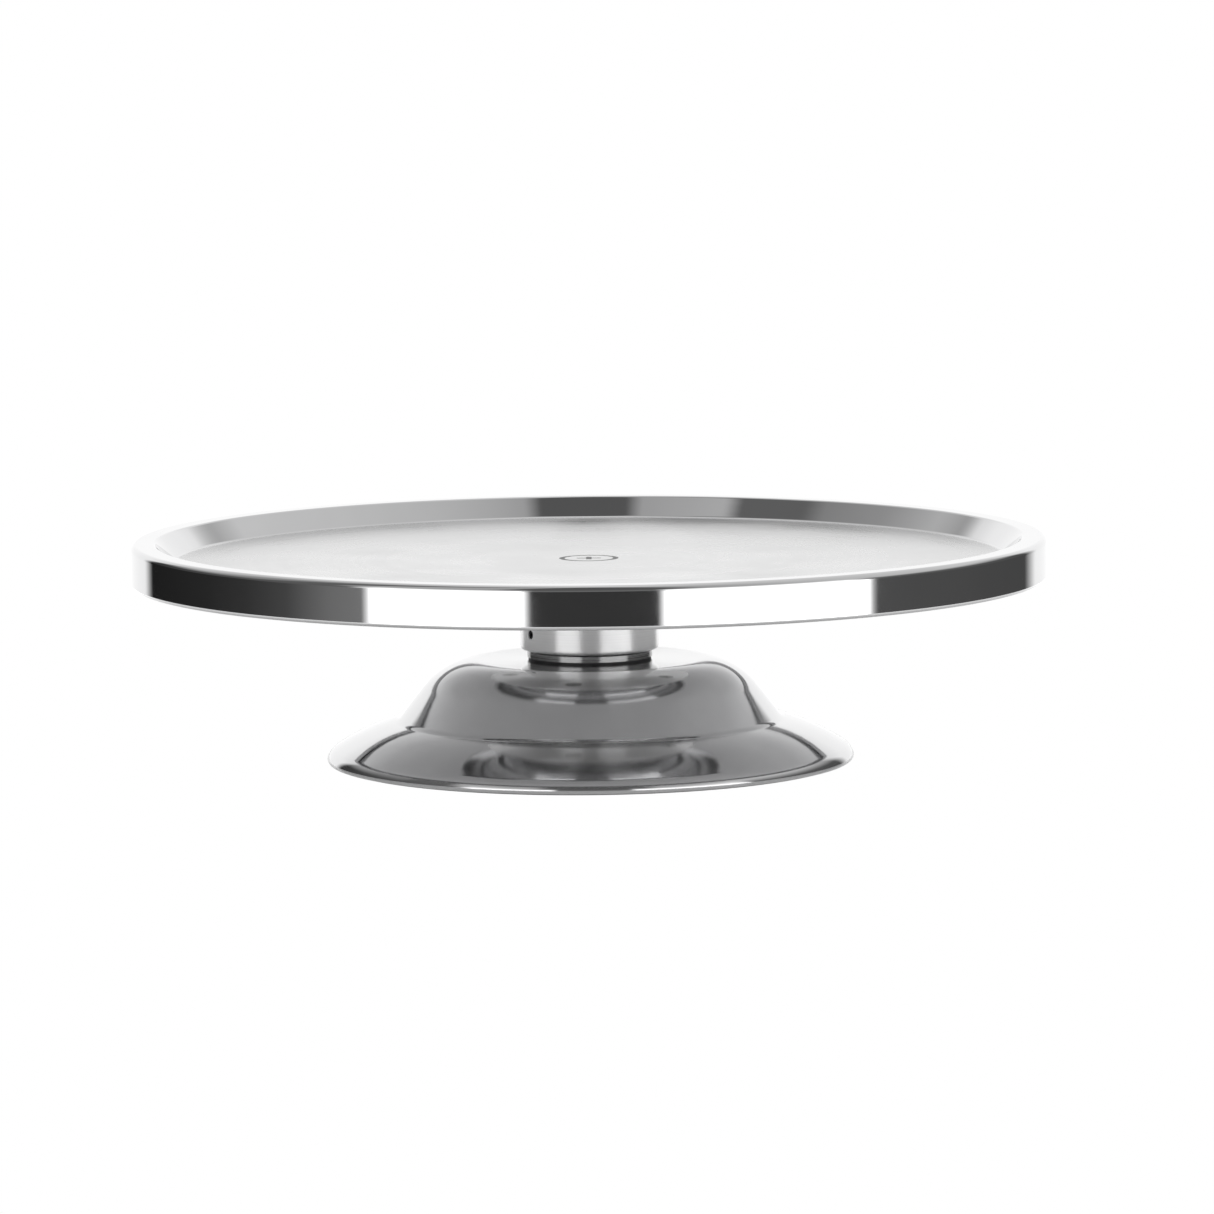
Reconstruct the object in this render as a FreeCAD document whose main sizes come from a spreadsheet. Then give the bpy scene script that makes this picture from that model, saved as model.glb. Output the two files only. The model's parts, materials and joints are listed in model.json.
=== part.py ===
import FreeCAD, Part
import math
import os
import re

import Sketcher

# A cake turntable in polished stainless steel. A shallow tray-shaped plate stands on a hub sleeve,
# which turns on two deep-groove ball bearings round a fixed post bolted to a bell-shaped base.
#
# Millimetres, +Z up. The origin is on the table top, at the centre of the base, and the axis of
# rotation is Z. The hub parts are drawn with one grub screw on +X and then turned by hub_angle.

DIMENSIONS = [
    ("gauge", 1.0, "sheet thickness of the plate and of the base"),
    ("plate_radius", 152.5, "outside of the plate's band"),
    ("plate_top", 75.0, "overall height, to the top of the rim"),
    ("band_height", 14.0, "upright band round the plate"),
    ("band_corner", 2.0, "outer radius where the rim turns down into the band"),
    ("rim_width", 8.0, "flat rim, from the band to the edge of the well"),
    ("rim_bend", 1.2, "outer radius where the rim turns down into the well"),
    ("well_radius", 139.0, "flat floor of the well"),
    ("well_depth", 7.1, "rim top to well floor"),
    ("well_bend", 1.5, "radius where the floor turns up into the well's wall"),
    ("hem_fold", 1.25, "outer radius of the folded lower edge of the band"),
    ("hem_return", 3.5, "height of the hem's inner leaf"),
    ("boss_height", 3.0, "gap between the plate and the hub disc, bridged by the bosses"),
    ("boss_radius", 5.0, "threaded boss welded under the plate"),
    ("boss_edge", 0.5, "rounded lower edge of a boss"),
    ("boss_circle", 34.0, "radius on which the bosses and their screws stand"),
    ("hub_disc_radius", 44.0, "disc that carries the plate"),
    ("hub_disc_thickness", 2.5, "disc that carries the plate"),
    ("hub_disc_edge", 0.8, "rounded edges of the hub disc"),
    ("screw_radius", 2.0, "M4 countersunk screw"),
    ("screw_clearance", 2.25, "hole for a screw in the hub disc"),
    ("screw_head_radius", 3.9, "countersunk head of a screw"),
    ("screw_land", 0.15, "upright edge of a screw's head"),
    ("screw_length", 5.0, "M4 countersunk screw, overall"),
    ("screw_socket_flats", 2.5, "hexagon socket of a screw"),
    ("screw_socket_depth", 1.3, "hexagon socket of a screw"),
    ("hub_angle", 212.3, "turn of the hub about Z, in degrees"),
    ("sleeve_radius", 23.2, "outside of the hub sleeve"),
    ("sleeve_mouth", 37.7, "lower end of the hub sleeve"),
    ("sleeve_edge", 1.4, "rounded lower edge of the hub sleeve"),
    ("spigot_radius", 18.0, "upper end of the sleeve, which fits into the hub disc"),
    ("shoulder_bore", 11.0, "bore of the sleeve above its bearings"),
    ("grub_height", 43.7, "height of the grub screws' axes"),
    ("grub_radius", 1.5, "M3 grub screw"),
    ("grub_recess", 0.4, "how far a grub screw lies below the sleeve's surface"),
    ("grub_socket_flats", 1.5, "hexagon socket of a grub screw"),
    ("grub_socket_depth", 2.0, "hexagon socket of a grub screw"),
    ("seal_height", 38.2, "underside of the dust seal"),
    ("seal_thickness", 2.0, "dust seal"),
    ("seal_gap", 0.2, "between the dust seal and the post"),
    ("bearing_bore", 6.0, "inner radius of a bearing, and the post's journal"),
    ("bearing_radius", 14.0, "outer radius of a bearing, and the sleeve's bore"),
    ("bearing_width", 8.0, "width of a bearing"),
    ("bearing_seat", 41.0, "height of the post's shoulder, under the lower bearing"),
    ("bearing_gap", 3.0, "spacers between the two bearings"),
    ("inner_land", 8.6, "outside of a bearing's inner ring"),
    ("outer_land", 11.4, "inside of a bearing's outer ring"),
    ("pitch_radius", 10.0, "circle on which a bearing's balls run"),
    ("ball_radius", 2.381, "bearing ball"),
    ("groove_radius", 2.43, "section of the grooves that the balls run in"),
    ("cage_inner", 9.2, "inside of a ball cage"),
    ("cage_outer", 10.8, "outside of a ball cage"),
    ("cage_width", 5.9, "width of a ball cage"),
    ("pocket_radius", 2.42, "ball pocket in a cage"),
    ("shield_inner", 8.9, "hole of a bearing shield"),
    ("shield_thickness", 0.4, "bearing shield"),
    ("shield_recess", 0.2, "how far a shield lies inside the bearing's face"),
    ("inner_spacer_radius", 7.6, "outside of the spacer between the inner rings"),
    ("outer_spacer_radius", 12.6, "inside of the spacer between the outer rings"),
    ("post_radius", 8.0, "post below its shoulder, and its M16 thread"),
    ("post_top", 62.6, "upper end of the post"),
    ("post_bottom", 15.6, "lower end of the post's thread"),
    ("post_chamfer", 0.8, "both ends of the post"),
    ("post_foot_radius", 20.85, "round foot of the post, seen under the sleeve"),
    ("post_foot_height", 2.2, "round foot of the post"),
    ("post_foot_edge", 0.4, "rounded edge of the post's foot"),
    ("circlip_groove", 5.5, "bottom of the circlip's groove"),
    ("circlip_width", 1.0, "circlip, along the post"),
    ("circlip_radius", 7.6, "outside of the circlip"),
    ("circlip_opening", 4.0, "gap between the circlip's ends"),
    ("gasket_thickness", 0.8, "gasket between the post's foot and the base"),
    ("gasket_radius", 20.5, "gasket between the post's foot and the base"),
    ("bolt_clearance", 0.1, "between the post's thread and what it passes through"),
    ("plateau_height", 34.3, "flat top of the base"),
    ("shoulder_start", 37.0, "radius where the flat top turns into the shoulder"),
    ("shoulder_radius", 24.0, "outer radius of the shoulder's bend"),
    ("wall_slope", 52.0, "slope of the base's straight wall, in degrees"),
    ("corner_height", 14.4, "inside corner between the wall and the skirt"),
    ("corner_bend", 4.0, "radius of that inside corner"),
    ("skirt_radius", 85.63, "outer radius of the skirt's long curve"),
    ("skirt_slope", 15.6, "slope of the skirt where it leaves the corner, in degrees"),
    ("skirt_end_slope", 31.0, "slope of the skirt where it bends down, in degrees"),
    ("edge_bend", 6.0, "outer radius where the skirt bends down"),
    ("edge_slope", 72.0, "slope of that bend where it meets the rolled edge, in degrees"),
    ("edge_radius", 88.0, "outside of the rolled edge"),
    ("edge_roll", 1.25, "outer radius of the rolled edge"),
    ("edge_lift", 0.4, "height of the rolled edge above the table"),
    ("lip_radius", 82.0, "inner end of the lip turned in under the skirt"),
    ("foot_inner", 80.5, "inside of the rubber foot ring"),
    ("foot_outer", 85.5, "outside of the rubber foot ring, under the lip"),
    ("foot_clip", 84.0, "outside of the rubber foot ring, over the lip"),
    ("foot_clip_height", 1.2, "rubber over the lip"),
    ("disc_radius", 30.0, "reinforcing disc under the flat top"),
    ("disc_thickness", 3.0, "reinforcing disc under the flat top"),
    ("pin_circle", 17.5, "radius at which the locating pin stands"),
    ("pin_radius", 1.5, "locating pin"),
    ("pin_depth", 1.2, "how far the locating pin reaches into the post's foot"),
    ("post_washer_radius", 15.0, "washer under the reinforcing disc"),
    ("post_washer_thickness", 2.0, "washer under the reinforcing disc"),
    ("spring_washer_radius", 12.2, "split spring washer"),
    ("spring_washer_thickness", 2.5, "split spring washer, pressed flat"),
    ("spring_washer_slit", 1.5, "split spring washer"),
    ("post_nut_flats", 24.0, "M16 nut across its flats"),
    ("post_nut_height", 8.0, "M16 nut"),
    ("post_nut_bevel", 30.0, "slope of the M16 nut's turned corners, in degrees"),
]

BOSSES = 4
GRUB_SCREWS = 2
BALLS = 8
BEARINGS = ("lower", "upper")

doc = FreeCAD.newDocument("cake_turntable")
sheet = doc.addObject("Spreadsheet::Sheet", "Sizes")
nodes = []


def fill_sheet():
    """Write every driving dimension: its meaning in column A, its value in column B."""
    for row, (alias, value, meaning) in enumerate(DIMENSIONS, start=1):
        sheet.set(f"A{row}", meaning)
        sheet.set(f"B{row}", str(value))
        sheet.setAlias(f"B{row}", alias)
    doc.recompute()


def bind(text):
    """The expression that reads each alias in the text from the sheet."""
    return re.sub(r"\b[a-z][a-z_]*\b(?!\()", r"Sizes.\g<0>", text)


def size(text):
    """The present value of an expression on the sheet's aliases."""
    result = sheet.evalExpression(bind(text))
    return float(getattr(result, "Value", result))


def polar(centre_x, centre_y, radius, angle):
    """A point at an angle, in degrees, on a circle, as a pair of expressions."""
    return (
        f"({centre_x}) + ({radius}) * cos({angle})",
        f"({centre_y}) + ({radius}) * sin({angle})",
    )


def new_body(label, height="0", turn="0"):
    """A body lifted along Z and turned about Z."""
    body = doc.addObject("PartDesign::Body", "Body")
    body.Label = label
    body.AllowCompound = True
    body.setExpression("Placement.Base.z", bind(height))
    body.setExpression("Placement.Rotation.Angle", bind(turn))
    nodes.append(body)
    return body


def new_sketch(body, plane, offset="0"):
    """A sketch on one of the body's own origin planes, or on a plane parallel to it."""
    sketch = body.newObject("Sketcher::SketchObject", "Sketch")
    support = next(item for item in body.Origin.OriginFeatures if item.Role == plane)
    sketch.AttachmentSupport = (support, [""])
    sketch.MapMode = "FlatFace"
    sketch.setExpression("AttachmentOffset.Base.z", bind(offset))
    return sketch


def place(sketch, geometry, point, position):
    """Hold a point of the sketch at a position given by two expressions."""
    for kind, text in zip(("DistanceX", "DistanceY"), position):
        constraint = Sketcher.Constraint(kind, -1, 1, geometry, point, size(text))
        index = sketch.addConstraint(constraint)
        sketch.setExpression(f"Constraints[{index}]", bind(text))


def short_arc(start, end, radius, side):
    """The shorter arc between two points; side is 1 if its centre is on the left, -1 if not."""
    first, last = (start, end) if side > 0 else (end, start)
    chord = last - first
    reach = math.sqrt(max(radius**2 - (chord.Length / 2) ** 2, 0))
    left = FreeCAD.Vector(-chord.y, chord.x, 0).normalize()
    centre = (first + last) / 2 + left * reach
    from_angle = math.atan2(first.y - centre.y, first.x - centre.x)
    to_angle = math.atan2(last.y - centre.y, last.x - centre.x)
    if to_angle < from_angle:
        to_angle += 2 * math.pi
    circle = Part.Circle(centre, FreeCAD.Vector(0, 0, 1), radius)
    return Part.ArcOfCircle(circle, from_angle, to_angle)


def draw_outline(sketch, outline):
    """A closed outline. Each vertex is (x, y), or (x, y, radius, side) where an arc ends at it."""
    corners = [FreeCAD.Vector(size(vertex[0]), size(vertex[1]), 0) for vertex in outline]
    for index, vertex in enumerate(outline):
        start = corners[index - 1]
        end = corners[index]
        starts_at, ends_at = 1, 2
        if len(vertex) == 2:
            geometry = sketch.addGeometry(Part.LineSegment(start, end), False)
        else:
            radius, side = vertex[2:]
            if side < 0:
                starts_at, ends_at = 2, 1
            arc = short_arc(start, end, size(radius), side)
            geometry = sketch.addGeometry(arc, False)
            hold = Sketcher.Constraint("Radius", geometry, size(radius))
            constraint = sketch.addConstraint(hold)
            sketch.setExpression(f"Constraints[{constraint}]", bind(radius))
        place(sketch, geometry, starts_at, outline[index - 1])
        place(sketch, geometry, ends_at, vertex)


def draw_circle(sketch, radius, centre=("0", "0")):
    """A circle with its radius and centre given by expressions."""
    middle = FreeCAD.Vector(size(centre[0]), size(centre[1]), 0)
    normal = FreeCAD.Vector(0, 0, 1)
    geometry = sketch.addGeometry(Part.Circle(middle, normal, size(radius)), False)
    index = sketch.addConstraint(Sketcher.Constraint("Radius", geometry, size(radius)))
    sketch.setExpression(f"Constraints[{index}]", bind(radius))
    place(sketch, geometry, 3, centre)


def hexagon(flats, centre_x="0"):
    """The six corners of a hexagon with the given distance across its flats."""
    return [polar(centre_x, "0", f"{flats} / sqrt(3)", 60 * corner) for corner in range(6)]


def finish_feature(body, feature):
    """Make the newest feature the body's result."""
    body.Tip = feature
    doc.recompute()
    return feature


def revolve(body, outline):
    """Turn an outline, drawn in radius and height, about Z."""
    sketch = new_sketch(body, "XZ_Plane")
    draw_outline(sketch, outline)
    feature = body.newObject("PartDesign::Revolution", "Revolution")
    feature.Profile = sketch
    feature.ReferenceAxis = (sketch, ["V_Axis"])
    feature.Angle = 360
    return finish_feature(body, feature)


def groove(body, outline):
    """Cut away what an outline, drawn in radius and height, sweeps as it turns about Z."""
    sketch = new_sketch(body, "XZ_Plane")
    draw_outline(sketch, outline)
    before = body.Tip.Shape.Volume
    feature = body.newObject("PartDesign::Groove", "Groove")
    feature.Profile = sketch
    feature.ReferenceAxis = (sketch, ["V_Axis"])
    feature.Angle = 360
    finish_feature(body, feature)
    if feature.Shape.Volume >= before:
        raise RuntimeError(f"a groove in {body.Label} cuts nothing")
    return feature


def pad(body, sketch, length):
    """Raise a sketch along its normal."""
    feature = body.newObject("PartDesign::Pad", "Pad")
    feature.Profile = sketch
    feature.setExpression("Length", bind(length))
    return finish_feature(body, feature)


def pocket(body, sketch, length):
    """Cut a sketch along its normal, and check that it cuts something."""
    before = body.Tip.Shape.Volume
    feature = body.newObject("PartDesign::Pocket", "Pocket")
    feature.Profile = sketch
    feature.Reversed = True
    feature.setExpression("Length", bind(length))
    finish_feature(body, feature)
    if feature.Shape.Volume >= before:
        raise RuntimeError(f"a pocket in {body.Label} cuts nothing")
    return feature


def repeat_round(body, features, count):
    """Repeat features evenly about the body's Z axis."""
    pattern = body.newObject("PartDesign::PolarPattern", "PolarPattern")
    pattern.Originals = features
    axis = next(item for item in body.Origin.OriginFeatures if item.Role == "Z_Axis")
    pattern.Axis = (axis, [""])
    pattern.Angle = 360
    pattern.Occurrences = count
    return finish_feature(body, pattern)


def rim_edges(shape, circles):
    """Names of the circular edges about Z at the given (radius, height) places."""
    found = []
    for radius, height in circles:
        for number, edge in enumerate(shape.Edges, start=1):
            if not isinstance(edge.Curve, Part.Circle):
                continue
            same_radius = abs(edge.Curve.Radius - size(radius)) < 1e-3
            same_height = abs(edge.Curve.Center.z - size(height)) < 1e-3
            if same_radius and same_height:
                found.append(f"Edge{number}")
                break
        else:
            raise RuntimeError(f"no edge at radius {radius}, height {height}")
    return found


def soften(body, kind, amount, circles):
    """Round or bevel the circular edges at the given places."""
    base = body.Tip
    feature = body.newObject(f"PartDesign::{kind}", kind)
    feature.Base = (base, rim_edges(base.Shape, circles))
    feature.setExpression("Radius" if kind == "Fillet" else "Size", bind(amount))
    return finish_feature(body, feature)


def ring(label, inner, outer, low, thickness):
    """A flat ring about Z."""
    body = new_body(label)
    sketch = new_sketch(body, "XY_Plane", low)
    draw_circle(sketch, outer)
    draw_circle(sketch, inner)
    pad(body, sketch, thickness)
    return body


def round_hole(body, radius, centre, depth, low="0"):
    """A hole along Z, from the height given as low."""
    sketch = new_sketch(body, "XY_Plane", low)
    draw_circle(sketch, radius, centre)
    return pocket(body, sketch, depth)


# Heights that several parts share.

WELL_FLOOR = "(plate_top - well_depth)"
PLATE_UNDERSIDE = "(plate_top - well_depth - gauge)"
HUB_DISC_TOP = f"({PLATE_UNDERSIDE} - boss_height)"
HUB_DISC_UNDERSIDE = f"({HUB_DISC_TOP} - hub_disc_thickness)"
SLEEVE_SHOULDER = "(bearing_seat + 2 * bearing_width + bearing_gap)"
SPACER_HEIGHT = "(bearing_seat + bearing_width)"
BEARING_CENTRES = {
    "lower": "bearing_seat + bearing_width / 2",
    "upper": "bearing_seat + 1.5 * bearing_width + bearing_gap",
}
GASKET_TOP = "(plateau_height + gasket_thickness)"
FOOT_TOP = f"({GASKET_TOP} + post_foot_height)"
PLATEAU_UNDERSIDE = "(plateau_height - gauge)"
DISC_UNDERSIDE = f"({PLATEAU_UNDERSIDE} - disc_thickness)"
POST_WASHER_UNDERSIDE = f"({DISC_UNDERSIDE} - post_washer_thickness)"
SPRING_WASHER_UNDERSIDE = f"({POST_WASHER_UNDERSIDE} - spring_washer_thickness)"


def make_top_plate():
    """One pressed sheet: a flat well, a sloping wall, a flat rim and a band with a folded hem."""
    body = new_body("top_plate")
    rim_edge = "(plate_radius - rim_width)"
    slant = f"(gauge * tan(atan(well_depth / ({rim_edge} - well_radius)) / 2))"
    hem_height = "(plate_top - band_height + hem_fold)"
    hem_bottom = "(plate_top - band_height)"
    leaf_outer = "(plate_radius - gauge)"
    leaf_return = "(plate_radius - 2 * hem_fold + gauge)"
    leaf_inner = "(plate_radius - 2 * hem_fold)"
    fold_centre = "(plate_radius - hem_fold)"
    leaf_end = f"({hem_height} + hem_return)"
    revolve(
        body,
        [
            ("0", WELL_FLOOR),
            ("0", PLATE_UNDERSIDE),
            (f"well_radius + {slant}", PLATE_UNDERSIDE),
            (f"{rim_edge} + {slant}", "plate_top - gauge"),
            (leaf_outer, "plate_top - gauge"),
            (leaf_outer, hem_height),
            (fold_centre, f"{hem_bottom} + gauge", "hem_fold - gauge", -1),
            (leaf_return, hem_height, "hem_fold - gauge", -1),
            (leaf_return, leaf_end),
            (leaf_inner, leaf_end),
            (leaf_inner, hem_height),
            (fold_centre, hem_bottom, "hem_fold", 1),
            ("plate_radius", hem_height, "hem_fold", 1),
            ("plate_radius", "plate_top"),
            (rim_edge, "plate_top"),
            ("well_radius", WELL_FLOOR),
        ],
    )
    soften(body, "Fillet", "band_corner", [("plate_radius", "plate_top")])
    soften(body, "Fillet", "band_corner - gauge", [(leaf_outer, "plate_top - gauge")])
    soften(body, "Fillet", "rim_bend", [(rim_edge, "plate_top")])
    soften(body, "Fillet", "well_bend", [("well_radius", WELL_FLOOR)])
    soften(
        body,
        "Fillet",
        "well_bend + gauge",
        [(f"well_radius + {slant}", PLATE_UNDERSIDE)],
    )


def make_plate_bosses():
    """Four threaded bosses welded under the plate, which the hub's screws go into."""
    body = new_body("plate_bosses", turn="hub_angle + 45")
    sketch = new_sketch(body, "XY_Plane", HUB_DISC_TOP)
    draw_circle(sketch, "boss_radius", ("boss_circle", "0"))
    boss = pad(body, sketch, "boss_height")
    edge = soften(body, "Fillet", "boss_edge", [("boss_radius", HUB_DISC_TOP)])
    hole = round_hole(body, "screw_radius", ("boss_circle", "0"), "plate_top")
    repeat_round(body, [boss, edge, hole], BOSSES)


def make_hub_disc():
    """The polished disc between the sleeve and the plate, countersunk for four screws."""
    body = new_body("hub_disc", turn="hub_angle + 45")
    revolve(
        body,
        [
            ("spigot_radius", HUB_DISC_UNDERSIDE),
            ("hub_disc_radius", HUB_DISC_UNDERSIDE),
            ("hub_disc_radius", HUB_DISC_TOP),
            ("spigot_radius", HUB_DISC_TOP),
        ],
    )
    edges = [("hub_disc_radius", HUB_DISC_UNDERSIDE), ("hub_disc_radius", HUB_DISC_TOP)]
    soften(body, "Fillet", "hub_disc_edge", edges)
    hole = round_hole(body, "screw_clearance", ("boss_circle", "0"), "plate_top")
    sink = "(screw_head_radius + screw_land - screw_clearance)"
    countersink = soften(body, "Chamfer", sink, [("screw_clearance", HUB_DISC_UNDERSIDE)])
    repeat_round(body, [hole, countersink], BOSSES)


def make_hub_screws():
    """Four countersunk socket screws, flush with the underside of the hub disc."""
    body = new_body("hub_screws", turn="hub_angle + 45")
    sketch = new_sketch(body, "XY_Plane", HUB_DISC_UNDERSIDE)
    draw_circle(sketch, "screw_head_radius", ("boss_circle", "0"))
    cone_height = "(screw_head_radius - screw_radius)"
    head = pad(body, sketch, f"screw_land + {cone_height}")
    head_top = f"{HUB_DISC_UNDERSIDE} + screw_land + {cone_height}"
    cone = soften(body, "Chamfer", cone_height, [("screw_head_radius", head_top)])
    sketch = new_sketch(body, "XY_Plane", HUB_DISC_UNDERSIDE)
    draw_circle(sketch, "screw_radius", ("boss_circle", "0"))
    shank = pad(body, sketch, "screw_length")
    sketch = new_sketch(body, "XY_Plane", HUB_DISC_UNDERSIDE)
    draw_outline(sketch, hexagon("screw_socket_flats", "boss_circle"))
    socket = pocket(body, sketch, "screw_socket_depth")
    repeat_round(body, [head, cone, shank, socket], BOSSES)


def make_hub_sleeve():
    """The turned sleeve that carries the hub disc and holds both bearings."""
    body = new_body("hub_sleeve", turn="hub_angle")
    revolve(
        body,
        [
            ("bearing_radius", "sleeve_mouth"),
            ("sleeve_radius", "sleeve_mouth"),
            ("sleeve_radius", HUB_DISC_UNDERSIDE),
            ("spigot_radius", HUB_DISC_UNDERSIDE),
            ("spigot_radius", HUB_DISC_TOP),
            ("shoulder_bore", HUB_DISC_TOP),
            ("shoulder_bore", SLEEVE_SHOULDER),
            ("bearing_radius", SLEEVE_SHOULDER),
        ],
    )
    soften(body, "Fillet", "sleeve_edge", [("sleeve_radius", "sleeve_mouth")])
    sketch = new_sketch(body, "YZ_Plane")
    draw_circle(sketch, "grub_radius", ("0", "grub_height"))
    thread = pocket(body, sketch, "sleeve_radius + gauge")
    repeat_round(body, [thread], GRUB_SCREWS)


def make_grub_screws():
    """Two socket grub screws that hold the lower bearing in the sleeve."""
    body = new_body("grub_screws", turn="hub_angle")
    length = "(sleeve_radius - bearing_radius - grub_recess)"
    sketch = new_sketch(body, "YZ_Plane", "bearing_radius")
    draw_circle(sketch, "grub_radius", ("0", "grub_height"))
    screw = pad(body, sketch, length)
    socket_start = f"bearing_radius + {length} - grub_socket_depth"
    sketch = new_sketch(body, "YZ_Plane", socket_start)
    corners = [polar("0", "grub_height", "grub_socket_flats / sqrt(3)", 60 * k) for k in range(6)]
    draw_outline(sketch, corners)
    socket = pocket(body, sketch, "grub_socket_depth")
    repeat_round(body, [screw, socket], GRUB_SCREWS)


def make_dust_seal():
    """A rubber ring pressed into the sleeve's mouth, just clear of the post."""
    ring(
        "dust_seal",
        "post_radius + seal_gap",
        "bearing_radius",
        "seal_height",
        "seal_thickness",
    )


def make_bearing(which):
    """One shielded deep-groove ball bearing: two rings, a cage, the balls and two shields."""
    centre = BEARING_CENTRES[which]
    half = "bearing_width / 2"
    inner_groove = "sqrt(groove_radius ^ 2 - (pitch_radius - inner_land) ^ 2)"
    outer_groove = "sqrt(groove_radius ^ 2 - (outer_land - pitch_radius) ^ 2)"

    inner = new_body(f"{which}_bearing_inner_ring", height=centre)
    revolve(
        inner,
        [
            ("bearing_bore", f"-{half}"),
            ("inner_land", f"-{half}"),
            ("inner_land", f"-{inner_groove}"),
            ("inner_land", inner_groove, "groove_radius", -1),
            ("inner_land", half),
            ("bearing_bore", half),
        ],
    )

    outer = new_body(f"{which}_bearing_outer_ring", height=centre)
    revolve(
        outer,
        [
            ("outer_land", f"-{half}"),
            ("bearing_radius", f"-{half}"),
            ("bearing_radius", half),
            ("outer_land", half),
            ("outer_land", outer_groove),
            ("outer_land", f"-{outer_groove}", "groove_radius", -1),
        ],
    )

    shields = new_body(f"{which}_bearing_shields", height=centre)
    for low in (
        f"{half} - shield_recess - shield_thickness",
        f"shield_recess - {half}",
    ):
        sketch = new_sketch(shields, "XY_Plane", low)
        draw_circle(sketch, "outer_land")
        draw_circle(sketch, "shield_inner")
        pad(shields, sketch, "shield_thickness")

    cage = new_body(f"{which}_ball_cage", height=centre)
    sketch = new_sketch(cage, "XY_Plane", "-cage_width / 2")
    draw_circle(sketch, "cage_outer")
    draw_circle(sketch, "cage_inner")
    pad(cage, sketch, "cage_width")
    sketch = new_sketch(cage, "YZ_Plane")
    draw_circle(sketch, "pocket_radius")
    hole = pocket(cage, sketch, "bearing_radius")
    repeat_round(cage, [hole], BALLS)

    balls = []
    for number in range(BALLS):
        ball = doc.addObject("Part::Sphere", "Ball")
        ball.setExpression("Radius", bind("ball_radius"))
        across, along = polar("0", "0", "pitch_radius", 360 * number / BALLS)
        ball.setExpression("Placement.Base.x", bind(across))
        ball.setExpression("Placement.Base.y", bind(along))
        balls.append(ball)
    ball_set = doc.addObject("Part::Compound", "Balls")
    ball_set.Label = f"{which}_balls"
    ball_set.Links = balls
    ball_set.setExpression("Placement.Base.z", bind(centre))
    nodes.append(ball_set)


def make_spacers():
    """Two rings that keep the bearings apart, one for the outer rings and one for the inner."""
    ring(
        "outer_spacer",
        "outer_spacer_radius",
        "bearing_radius",
        SPACER_HEIGHT,
        "bearing_gap",
    )
    ring(
        "inner_spacer",
        "bearing_bore",
        "inner_spacer_radius",
        SPACER_HEIGHT,
        "bearing_gap",
    )


def make_bearing_post():
    """The fixed post: journal, shoulder, round foot and the thread that goes through the base."""
    body = new_body("bearing_post")
    groove_top = f"({SLEEVE_SHOULDER} + circlip_width)"
    revolve(
        body,
        [
            ("0", "post_bottom"),
            ("post_radius", "post_bottom"),
            ("post_radius", GASKET_TOP),
            ("post_foot_radius", GASKET_TOP),
            ("post_foot_radius", FOOT_TOP),
            ("post_radius", FOOT_TOP),
            ("post_radius", "bearing_seat"),
            ("bearing_bore", "bearing_seat"),
            ("bearing_bore", SLEEVE_SHOULDER),
            ("circlip_groove", SLEEVE_SHOULDER),
            ("circlip_groove", groove_top),
            ("bearing_bore", groove_top),
            ("bearing_bore", "post_top"),
            ("0", "post_top"),
        ],
    )
    soften(
        body,
        "Chamfer",
        "post_chamfer",
        [("post_radius", "post_bottom"), ("bearing_bore", "post_top")],
    )
    soften(body, "Fillet", "post_foot_edge", [("post_foot_radius", FOOT_TOP)])
    round_hole(body, "pin_radius", ("pin_circle", "0"), f"{GASKET_TOP} + pin_depth")


def make_post_circlip():
    """The open spring ring that keeps the upper bearing on the post."""
    body = ring(
        "post_circlip",
        "circlip_groove",
        "circlip_radius",
        SLEEVE_SHOULDER,
        "circlip_width",
    )
    sketch = new_sketch(body, "XY_Plane", SLEEVE_SHOULDER)
    draw_outline(
        sketch,
        [
            ("0", "-circlip_opening / 2"),
            ("bearing_radius", "-circlip_opening / 2"),
            ("bearing_radius", "circlip_opening / 2"),
            ("0", "circlip_opening / 2"),
        ],
    )
    pocket(body, sketch, "circlip_width")


def make_base_gasket():
    """The thin gasket between the post's foot and the base."""
    body = ring(
        "foot_gasket",
        "post_radius + bolt_clearance",
        "gasket_radius",
        "plateau_height",
        "gasket_thickness",
    )
    round_hole(body, "pin_radius", ("pin_circle", "0"), "plate_top")


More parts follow.
